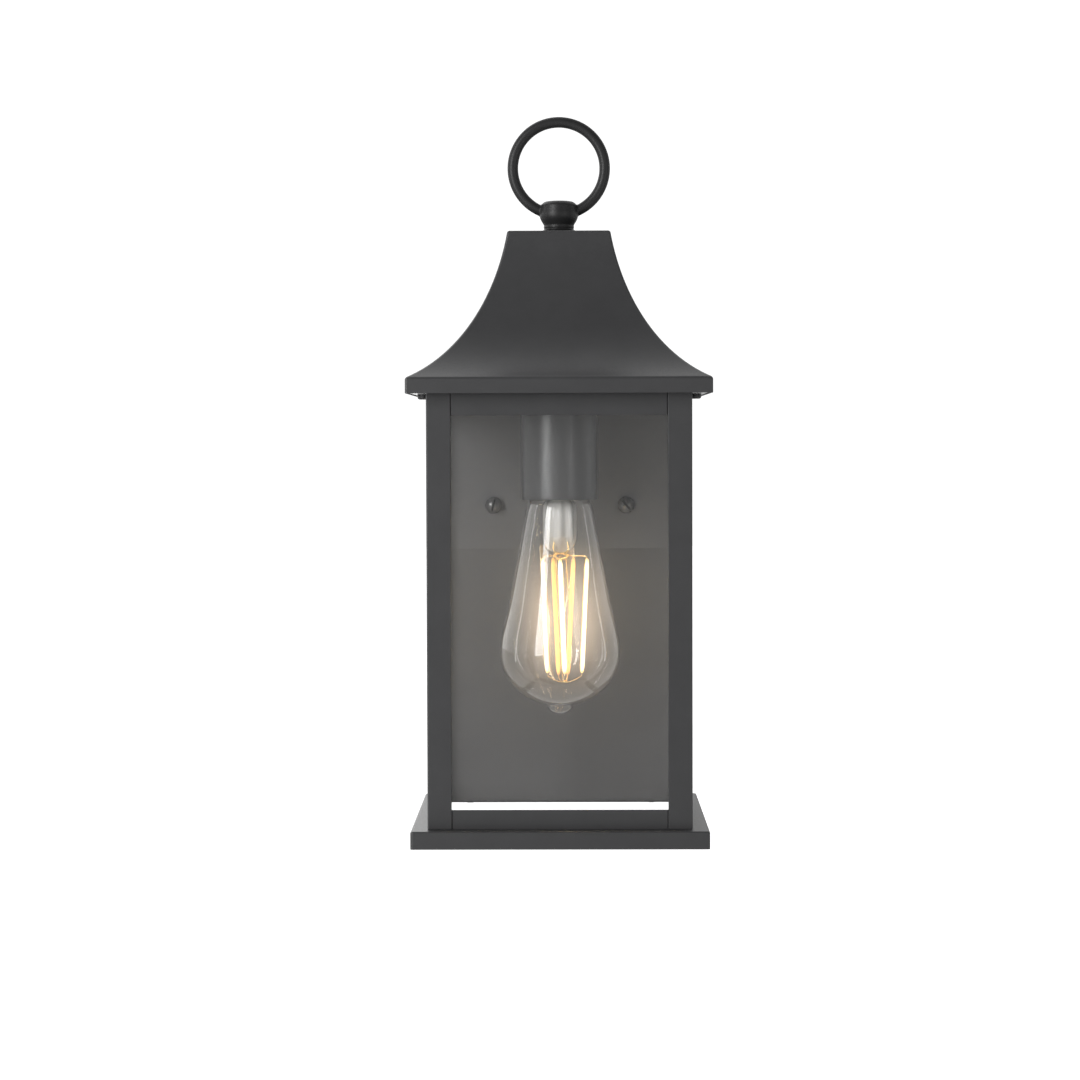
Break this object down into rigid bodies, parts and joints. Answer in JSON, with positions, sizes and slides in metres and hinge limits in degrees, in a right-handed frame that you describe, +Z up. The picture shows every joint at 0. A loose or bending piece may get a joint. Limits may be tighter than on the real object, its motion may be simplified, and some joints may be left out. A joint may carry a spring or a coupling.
{
  "type": "outdoor wall lantern",
  "caption": "Square box wall lantern with a concave hipped roof, a hanging ring on top, clear glass on the front and sides, an open base and a tapered clear lamp.",
  "frame": {"origin": "on the wall plane, halfway between the two mounting studs", "axes": "+Z up, +Y into the wall, +X to the right as seen by someone facing the lantern"},
  "size_m": [0.1546, 0.1546, 0.3764],
  "materials": {
    "black_paint": "fine-textured satin powder coat",
    "black_screw": "black oxide screw",
    "satin_black": "smooth satin black",
    "zinc_steel": "zinc-plated steel",
    "clear_glass": "clear float glass",
    "lamp_glass": "clear lamp glass",
    "porcelain": "glazed porcelain",
    "brass": "plain brass",
    "nickel": "nickel-plated shell",
    "solder": "dull solder",
    "black_glass": "black glass insulator",
    "lamp_wire": "fine plated wire",
    "circuit_board": "circuit board",
    "black_rubber": "soft rubber",
    "green_screw": "green earthing screw",
    "copper": "bare copper",
    "black_insulation": "wire insulation",
    "white_insulation": "wire insulation",
    "connector_orange": "moulded connector cap",
    "filament": "glowing phosphor stick"
  },
  "bodies": {
    "lantern": {"hanging_ring": "black_paint", "ring_holder": "black_paint", "roof_shell": "black_paint", "ceiling_plate": "black_paint", "roof_tabs": "black_paint", "front_post_left": "black_paint", "front_post_right": "black_paint", "rear_post_left": "black_paint", "rear_post_right": "black_paint", "front_top_rail": "black_paint", "front_bottom_rail": "black_paint", "side_top_rail_left": "black_paint", "side_top_rail_right": "black_paint", "side_bottom_rail_left": "black_paint", "side_bottom_rail_right": "black_paint", "base_frame": "black_paint", "wall_pan": "black_paint", "dome_nuts": "black_paint", "eave_screws": "black_screw", "base_screws": "black_screw", "finial_stud": "zinc_steel", "finial_washer": "zinc_steel", "finial_nut": "zinc_steel", "glass_clips": "zinc_steel", "crossbar": "zinc_steel", "mounting_studs": "zinc_steel", "stud_locknuts": "zinc_steel", "lampholder_bracket": "zinc_steel", "lamp_nipple": "zinc_steel", "nipple_locknuts": "zinc_steel", "front_glass": "clear_glass", "side_glass_left": "clear_glass", "side_glass_right": "clear_glass", "socket_cup": "satin_black", "lampholder_body": "porcelain", "screw_shell": "brass", "centre_contact": "brass", "ceiling_grommet": "black_rubber", "ground_screw": "green_screw", "ground_lug": "copper", "ground_lead": "copper", "lead_black": "black_insulation", "lead_white": "white_insulation", "wire_nuts": "connector_orange"},
    "bulb": {"bulb_glass": "lamp_glass", "bulb_stem": "lamp_glass", "bulb_cap": "nickel", "bulb_insulator": "black_glass", "bulb_tip_contact": "solder", "bulb_filaments": "filament", "bulb_support_wires": "lamp_wire", "bulb_driver_board": "circuit_board"}
  },
  "joints": [
    {"name": "lamp_removal", "type": "slide", "parent": "lantern", "child": "bulb", "axis": [0, 0, -1], "range_m": [0, 0.205]}
  ]
}
